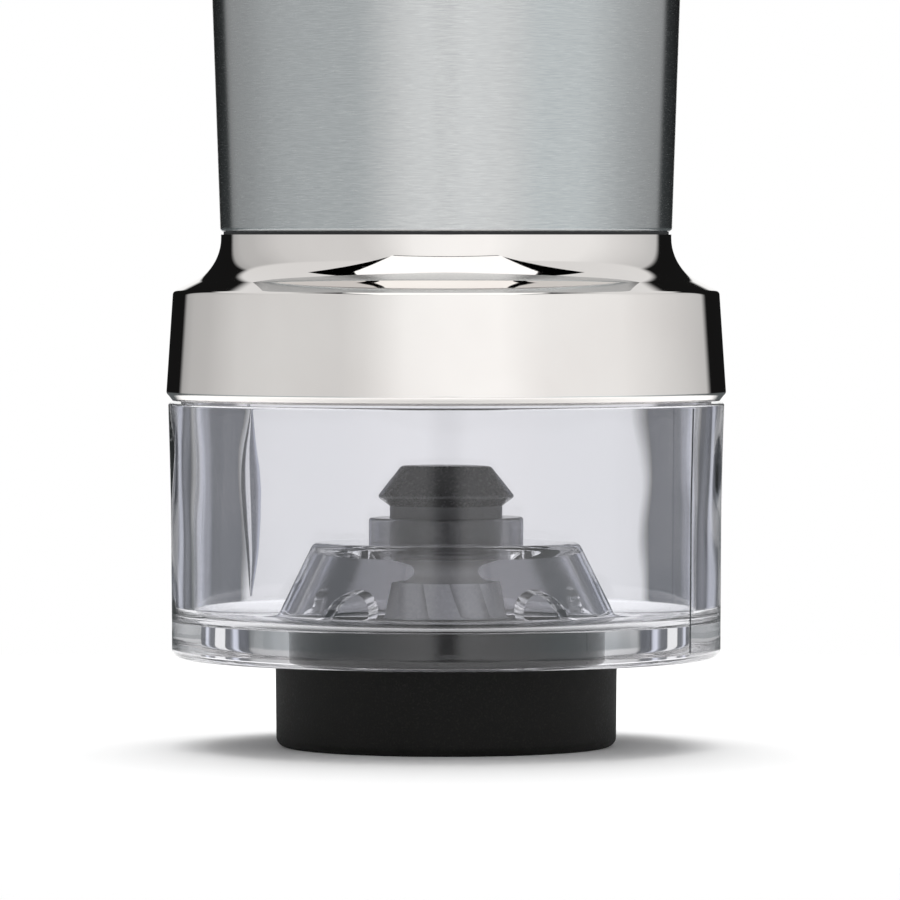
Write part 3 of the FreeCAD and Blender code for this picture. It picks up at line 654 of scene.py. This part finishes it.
cup = turned("clear_cup", [
    (8.65, 23.75), (15.325, 23.75), (19.5, 15.4), (20.1, 15.4), (20.1, 11.25), (34.55, 11.25, 1.2),
    (34.68, 31.0, 400.0), (35.0, 43.3, 0.3), (33.4, 43.3), (33.4, 49.6, 0.3), (31.75, 49.6, 0.3),
    (31.6, 15.7, 2.0), (21.75, 15.7, 3.0), (16.675, 25.85, 1.3), (8.65, 25.85),
], clear_plastic, CUP_STEPS)
bow = [math.radians(180 / ARCH_STEPS * step) for step in range(ARCH_STEPS + 1)]
arch_section = [(-ARCH_HALF, ARCH_FOOT), (ARCH_HALF, ARCH_FOOT)]
arch_section += [(ARCH_HALF * math.cos(a), ARCH_SPRING + ARCH_HALF * math.sin(a)) for a in bow]
arch = bar_mesh("arch", [[(reach, y, z) for y, z in arch_section] for reach in ARCH_REACH])
arches = baked("arches", arch, ring, Count=ARCH_COUNT, First=math.radians(ARCH_FIRST),
               Finish=clear_plastic)
groove_tops = [(angle, GROOVE_MOUTH) for angle in GROOVE_ENTRY]
groove_tops += [(angle, GROOVE_ROOF) for angle in GROOVE_RUN]
groove = bar_mesh("groove", [
    [polar(r, angle, z) for r, z in box_section(GROOVE_RADII, (GROOVE_FOOT, top))]
    for angle, top in groove_tops
])
grooves = baked("grooves", groove, ring, Count=LUG_COUNT, First=0.0, Finish=clear_plastic)
carved(cup, arches, grooves)
stand_in(cup, "chamber_cup", "chamber")

# %% [markdown]
# The mould left two traces down the outside of the chamber: a fine line where its halves met,
# and a lens-shaped mark where the plastic ran together. The tree for rings places each one.

# %% Mould marks
LINE_ANGLE = -29.0  # 61 degrees to the right of the front
LINE_RELIEF = 0.08
MARK_ANGLE = 142.0  # 52 degrees to the left of the back
MARK_RELIEF = 0.32
RIDGE_STEPS = 12
RIDGE_SINK = 0.04  # depth in mm by which a ridge is set into the wall


def ridge(name, angle, relief, stations):
    """Fine ridge down the chamber, from stations of wall radius, level and half its width in degrees."""
    sections = []
    for radius, level, half in stations:
        foot = radius - RIDGE_SINK
        shares = [2 * step / RIDGE_STEPS - 1 for step in range(RIDGE_STEPS + 1)]
        swell = relief * half / max(station[2] for station in stations) + RIDGE_SINK
        sections.append([polar(foot + swell * (1 - a * a), angle + half * a, level) for a in shares])
    bar = bar_mesh(name + "_bar", sections)
    piece = baked(name, bar, ring, Count=1, First=0.0, Finish=clear_plastic)
    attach(piece, "chamber")


ridge("parting_line", LINE_ANGLE, LINE_RELIEF, [
    (34.56, 12.6, 0.4), (34.62, 20.0, 0.4), (34.68, 31.0, 0.4), (34.83, 37.0, 0.4), (34.98, 42.9, 0.4),
])
ridge("gate_mark", MARK_ANGLE, MARK_RELIEF, [
    (34.61, 18.0, 0.3), (34.63, 21.0, 1.3), (34.65, 24.0, 2.3), (34.67, 28.0, 3.2), (34.70, 32.0, 3.6),
    (34.77, 35.0, 3.2), (34.85, 38.0, 2.2), (34.92, 40.5, 1.2), (34.98, 42.9, 0.3),
])

# %% [markdown]
# ## The spring
# The spring under the rotor is a wire along a spiral. In the mill it is pressed flatter as the rotor sinks;
# here it keeps one height and moves with the base.

# %% Spring
SPRING_FOOT = 4.4
SPRING_TOP = 9.8
SPRING_PLAY = 0.05  # between the wire and what it stands on, at each end
SPRING_RADIUS = 6.434
SPRING_TURNS = 3.5
SPRING_STEPS = 64  # for each turn
WIRE_RADIUS = 0.35
WIRE_STEPS = 16


def spring_tree():
    """Geometry tree for a round wire along an upright spiral. It starts from an empty mesh."""
    tree, given = start_tree("spring", "Spring", Start="Geometry", Radius="Float", Height="Float",
                             Turns="Float", Wire="Float", Foot="Float", Finish="Material")
    size = {"Resolution": SPRING_STEPS, "Rotations": given["Turns"], "Start Radius": given["Radius"],
            "End Radius": given["Radius"], "Height": given["Height"]}
    spiral = add(tree, "GeometryNodeCurveSpiral", size).outputs[0]
    circle = {"Resolution": WIRE_STEPS, "Radius": given["Wire"]}
    section = add(tree, "GeometryNodeCurvePrimitiveCircle", circle).outputs[0]
    sweep = {"Curve": spiral, "Profile Curve": section, "Fill Caps": True}
    wire = add(tree, "GeometryNodeCurveToMesh", sweep).outputs[0]
    lift = add(tree, "ShaderNodeCombineXYZ", {"Z": given["Foot"]}).outputs[0]
    raised = add(tree, "GeometryNodeTransform", {"Geometry": wire, "Translation": lift}).outputs[0]
    shading = {"Geometry": raised, "Shade Smooth": True}
    smooth = add(tree, "GeometryNodeSetShadeSmooth", shading).outputs[0]
    return end_tree(tree, smooth, given["Finish"], "Spring")


spring_height = SPRING_TOP - SPRING_FOOT
wire_foot = SPRING_FOOT + SPRING_PLAY + WIRE_RADIUS
wire_height = spring_height - 2 * (SPRING_PLAY + WIRE_RADIUS)
spring = baked("coil_spring", bpy.data.meshes.new("nothing"), spring_tree(), Radius=SPRING_RADIUS * MM,
               Height=wire_height * MM, Turns=SPRING_TURNS, Wire=WIRE_RADIUS * MM, Foot=wire_foot * MM,
               Finish=bright_steel)
stand_in(spring, "rotor_spring", "base")
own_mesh(spring)

# %% [markdown]
# ## The studio
# The photograph is a bright-field picture: a white panel just fills the frame behind the mill, what lies
# beside that panel is dark, and pale walls stand left, right and behind the camera. The dark strips at the
# edges of the metal and the grey bands at the edges of the chamber come from there. Below the horizon,
# a slate-coloured table runs out to both sides. Panels and lamps could stand for all of this, but they
# would get into other views, so the world holds the room as ramps of brightness over the compass.

# %% Walls, table and ceiling
WALLS = [  # degrees from straight behind the mill, to the right if positive, and brightness
    (-180, 1.08), (-163, 1.02), (-146, 0.80), (-136, 0.73), (-106, 0.74), (-84, 0.70), (-63, 0.56),
    (-49, 0.53), (-41, 0.44), (-37, 0.008), (-8, 0.008), (-7, 1.0), (7, 1.0), (8, 0.008), (40, 0.008),
    (45, 0.58), (57, 0.65), (79, 0.78), (102, 0.93), (138, 0.97), (146, 1.02), (158, 1.1), (180, 1.08),
]
TABLE = [  # the same below the horizon
    (-180, 1.56), (-171, 1.03), (-156, 0.92), (-135, 0.56), (-99, 0.49), (-85, 0.44), (-68, 0.34),
    (-47, 0.22), (-37, 0.12), (-8, 0.12), (-7, 1.0), (7, 1.0), (8, 0.12), (40, 0.12), (45, 0.18),
    (61, 0.25), (79, 0.40), (94, 0.60), (107, 0.79), (131, 0.81), (147, 0.92), (171, 1.04), (180, 1.56),
]
SLATE_TINT = (0.90, 1.0, 1.03)
SLATE_BEARINGS = (8, 135)  # degrees from straight behind between which the table shows its tint
TABLE_EDGE = (-0.01, -0.07)  # sines of the elevations between which the walls give way to the table
CEILING_EDGE = (0.66, 0.71)  # and to the ceiling, beside the mill
CEILING_SLANT = 0.22  # how much lower the wall behind ends, and how much higher the one in front
CEILING = 0.80


def grey(level):
    """Colour without a hue, which may be brighter than white."""
    return (level, level, level, 1.0)


def tinted(level, tint):
    """Colour with a tint."""
    return [level * share for share in tint] + [1.0]


def table_colour(angle, level):
    """Colour of the table at a bearing: slate to the sides, and plain before and behind."""
    slate = SLATE_BEARINGS[0] <= abs(angle) <= SLATE_BEARINGS[1]
    return tinted(level, SLATE_TINT) if slate else grey(level)


def compass(angle):
    """Place on a ramp for degrees from straight behind the mill."""
    return 0.5 + angle / 360


def room_light(tree, parts, turn):
    """Light of the walls, the table and the ceiling."""
    circle = {0: turn, 1: 1 / (2 * math.pi), 2: 0.5}
    bearing = add(tree, "ShaderNodeMath", circle, operation="MULTIPLY_ADD").outputs[0]
    stops = [(compass(angle), grey(level)) for angle, level in WALLS]
    room = add(tree, "ShaderNodeValToRGB", {"Fac": bearing}, stops).outputs["Color"]
    stops = [(compass(angle), table_colour(angle, level)) for angle, level in TABLE]
    table = add(tree, "ShaderNodeValToRGB", {"Fac": bearing}, stops).outputs["Color"]
    slant = {0: parts["Y"], 1: CEILING_SLANT, 2: parts["Z"]}
    slant = add(tree, "ShaderNodeMath", slant, operation="MULTIPLY_ADD").outputs[0]
    layers = ((parts["Z"], TABLE_EDGE, table), (slant, CEILING_EDGE, grey(CEILING)))
    for height, (start, end), light in layers:
        share = {"Value": height, "From Min": start, "From Max": end}
        share = add(tree, "ShaderNodeMapRange", share, interpolation_type="SMOOTHSTEP").outputs["Result"]
        room = add(tree, "ShaderNodeMixRGB", {"Fac": share, "Color1": room, "Color2": light}).outputs[0]
    return room


print("stops of the walls and the table:", len(WALLS), len(TABLE))

# %% [markdown]
# Two things stand out in that room. A window in a dark frame hangs overhead, and the cove of the collar
# mirrors it. Behind the camera stands something dark and soft-edged, and the front of the chamber mirrors
# it as a streak down the middle of the knob and the floor. A point of the world lies in such a shape
# when it lies inside all of its edges, so the tests of the edges are multiplied.

# %% Window and stand
# The window's distances are shares of its height above the mill, and minus is forwards.
FRAME_HALF = 0.6
FRAME_FRONT = -1.05
FRAME_BACK = 0.38
WINDOW_FRONT = -1.0
WINDOW_SIDE = (-0.184, 0.431)  # half width as a line over the distance back: slope and start
WINDOW_CORNER = (-0.51, 0.461)
WINDOW = 1.25
LEAST_RISE = 0.0001  # keeps the division by the height away from zero
STAND_SIDE = (1 - 10.5 / 180, 1 - 1.5 / 180)  # shares of half a turn, from the edge of its blur to its core
STAND_TOP = (0.01, -0.01)  # the same as sines of elevations
STAND_FOOT = (-0.14, -0.10)
STAND = 0.25


def with_stand(tree, room, aside, height):
    """The room with the dark stand behind the camera."""
    inside = 1.0
    for value, (start, end) in ((aside, STAND_SIDE), (height, STAND_TOP), (height, STAND_FOOT)):
        edge = {"Value": value, "From Min": start, "From Max": end}
        edge = add(tree, "ShaderNodeMapRange", edge, interpolation_type="SMOOTHSTEP").outputs["Result"]
        inside = add(tree, "ShaderNodeMath", {0: edge, 1: inside}, operation="MULTIPLY").outputs[0]
    mix = {"Fac": inside, "Color1": room, "Color2": grey(STAND)}
    return add(tree, "ShaderNodeMixRGB", mix).outputs[0]


def with_window(tree, room, parts):
    """The room with the window overhead, in its dark frame."""
    rise = add(tree, "ShaderNodeMath", {0: parts["Z"], 1: LEAST_RISE}, operation="MAXIMUM").outputs[0]
    across = add(tree, "ShaderNodeMath", {0: parts["X"], 1: rise}, operation="DIVIDE").outputs[0]
    across = add(tree, "ShaderNodeMath", {0: across}, operation="ABSOLUTE").outputs[0]
    back = add(tree, "ShaderNodeMath", {0: parts["Y"], 1: rise}, operation="DIVIDE").outputs[0]
    lines = [{0: back, 1: slope, 2: start} for slope, start in (WINDOW_SIDE, WINDOW_CORNER)]
    halves = [add(tree, "ShaderNodeMath", line, operation="MULTIPLY_ADD").outputs[0] for line in lines]
    half = add(tree, "ShaderNodeMath", dict(enumerate(halves)), operation="MINIMUM").outputs[0]
    frame_edges = [(across, FRAME_HALF, "LESS_THAN"), (back, FRAME_FRONT, "GREATER_THAN"),
                   (back, FRAME_BACK, "LESS_THAN")]
    window_edges = [(across, half, "LESS_THAN"), (back, WINDOW_FRONT, "GREATER_THAN")]
    for edges, level in ((frame_edges, 0.0), (window_edges, WINDOW)):
        inside = 1.0
        for value, edge, operation in edges:
            test = add(tree, "ShaderNodeMath", {0: value, 1: edge}, operation=operation).outputs[0]
            inside = add(tree, "ShaderNodeMath", {0: test, 1: inside}, operation="MULTIPLY").outputs[0]
        mix = {"Fac": inside, "Color1": room, "Color2": grey(level)}
        room = add(tree, "ShaderNodeMixRGB", mix).outputs[0]
    return room


# %% [markdown]
# A clear wall bends a ray until it leaves the chamber somewhere beside the panel. One more ramp gives the
# least light that such a ray finds there, so the chamber stays bright. The camera itself sees plain white.

# %% World
THROUGH = [  # degrees from straight behind, and least light that is seen there through the clear plastic
    (0, 0.0), (7, 0.0), (8.5, 0.15), (15, 0.16), (18, 0.36), (21, 0.85), (25, 0.75), (28, 0.13), (180, 0.12),
]
THROUGH_TINT = (0.95, 0.98, 1.10)


def build_world():
    """The room as a world: light by direction for the mill, and white for the camera."""
    world = bpy.data.worlds.new("studio")
    scene.world = world
    world.use_nodes = True
    tree = world.node_tree
    tree.nodes.clear()
    direction = add(tree, "ShaderNodeTexCoord").outputs["Generated"]
    parts = add(tree, "ShaderNodeSeparateXYZ", {"Vector": direction}).outputs
    turn = add(tree, "ShaderNodeMath", {0: parts["X"], 1: parts["Y"]}, operation="ARCTAN2").outputs[0]
    aside = add(tree, "ShaderNodeMath", {0: turn}, operation="ABSOLUTE").outputs[0]
    aside = add(tree, "ShaderNodeMath", {0: aside, 1: math.pi}, operation="DIVIDE").outputs[0]
    room = room_light(tree, parts, turn)
    room = with_stand(tree, room, aside, parts["Z"])
    room = with_window(tree, room, parts)
    path = add(tree, "ShaderNodeLightPath").outputs
    stops = [(angle / 180, tinted(level, THROUGH_TINT)) for angle, level in THROUGH]
    through = add(tree, "ShaderNodeValToRGB", {"Fac": aside}, stops).outputs["Color"]
    least = {"Fac": path["Is Transmission Ray"], "Color1": room, "Color2": through}
    room = add(tree, "ShaderNodeMixRGB", least, blend_type="LIGHTEN").outputs[0]
    seen = {"Fac": path["Is Camera Ray"], "Color1": room, "Color2": grey(1.0)}
    seen = add(tree, "ShaderNodeMixRGB", seen).outputs[0]
    background = add(tree, "ShaderNodeBackground", {"Color": seen, "Strength": 1.0})
    add(tree, "ShaderNodeOutputWorld", {"Surface": background.outputs["Background"]})
    print("world nodes:", len(tree.nodes))


build_world()

# %% [markdown]
# One wide lamp lights only the floor, so that the floor reads as white paper without more light on the
# mill, and it hangs a little behind the mill, which draws the shadow forwards.
# The paper fades out a hand's breadth from the mill, where the camera sees white anyway and the
# clear chamber should see the dark beside the panel.

# %% Lamp and floor
FLOOR_LAMP_PLACE = (0, 0.36, 0.8)
FLOOR_LAMP_SIZE = (0.9, 0.8)
FLOOR_LAMP_RADIANCE = 3.05
PAPER_TONE = "#f4f4f4"
PAPER_END = 0.12
PAPER_FADE = 0.10


def soft_box(name, place, size, radiance):
    """Rectangular lamp that faces down and is as bright as the given radiance."""
    lamp = bpy.data.lights.new(name, "AREA")
    lamp.shape = "RECTANGLE"
    lamp.size, lamp.size_y = size
    lamp.energy = radiance * math.pi * size[0] * size[1]
    holder = bpy.data.objects.new(name, lamp)
    holder.location = place
    scene.collection.objects.link(holder)
    return holder


def build_floor():
    """Square of white paper that fades out round the mill."""
    material, tree, shader, place = start_finish(
        "floor_paper", Base_Color=linear(PAPER_TONE), Roughness=0.9, Specular_IOR_Level=0.0
    )
    half = PAPER_END + PAPER_FADE
    distance = add(tree, "ShaderNodeVectorMath", {0: place}, operation="LENGTH").outputs["Value"]
    fade = {"Value": distance, "From Min": PAPER_END, "From Max": half, "To Min": 1.0, "To Max": 0.0}
    paper = add(tree, "ShaderNodeMapRange", fade, interpolation_type="SMOOTHSTEP").outputs["Result"]
    tree.links.new(paper, shader.inputs["Alpha"])
    mesh = bpy.data.meshes.new("floor")
    corners = [(-half, -half, 0), (half, -half, 0), (half, half, 0), (-half, half, 0)]
    mesh.from_pydata(corners, [], [(0, 1, 2, 3)])
    mesh.materials.append(material)
    floor = bpy.data.objects.new("floor", mesh)
    scene.collection.objects.link(floor)
    return floor


floor = build_floor()
floor_lamp = soft_box("floor_lamp", FLOOR_LAMP_PLACE, FLOOR_LAMP_SIZE, FLOOR_LAMP_RADIANCE)
only_floor = bpy.data.collections.new("only_floor")
only_floor.objects.link(floor)
floor_lamp.light_linking.receiver_collection = only_floor
floor_lamp.visible_glossy = False
floor_lamp.visible_transmission = False
print("lamp power in watts: %.2f" % floor_lamp.data.energy)

# %% [markdown]
# ## The camera
# The picture was taken with a long lens from just above the collar: the line between collar and body
# is straight, and everything below it curves down a little more the lower it lies.

# %% Camera
PHOTO_SIDE = 900
SENSOR = 36.0
FOCAL_PIXELS = 7460.0
AXIS_PIXEL = 446.2
TABLE_PIXEL = 746.2
HORIZON_PIXEL = 235.0
CAMERA_DISTANCE = 0.939

pixel = CAMERA_DISTANCE / FOCAL_PIXELS
side_step = (PHOTO_SIDE / 2 - AXIS_PIXEL) * pixel
camera_height = (TABLE_PIXEL - HORIZON_PIXEL) * pixel
aim_height = (TABLE_PIXEL - PHOTO_SIDE / 2) * pixel
tilt = math.atan2(camera_height - aim_height, CAMERA_DISTANCE)
camera_data = bpy.data.cameras.new("camera")
camera_data.sensor_width = SENSOR
camera_data.lens = FOCAL_PIXELS * SENSOR / PHOTO_SIDE
camera = bpy.data.objects.new("camera", camera_data)
camera.location = (side_step, -CAMERA_DISTANCE, camera_height)
camera.rotation_euler = (math.pi / 2 - tilt, 0, 0)
scene.collection.objects.link(camera)
scene.camera = camera
print("camera height in mm: %.1f, tilt in degrees: %.2f" % (camera_height / MM, math.degrees(tilt)))
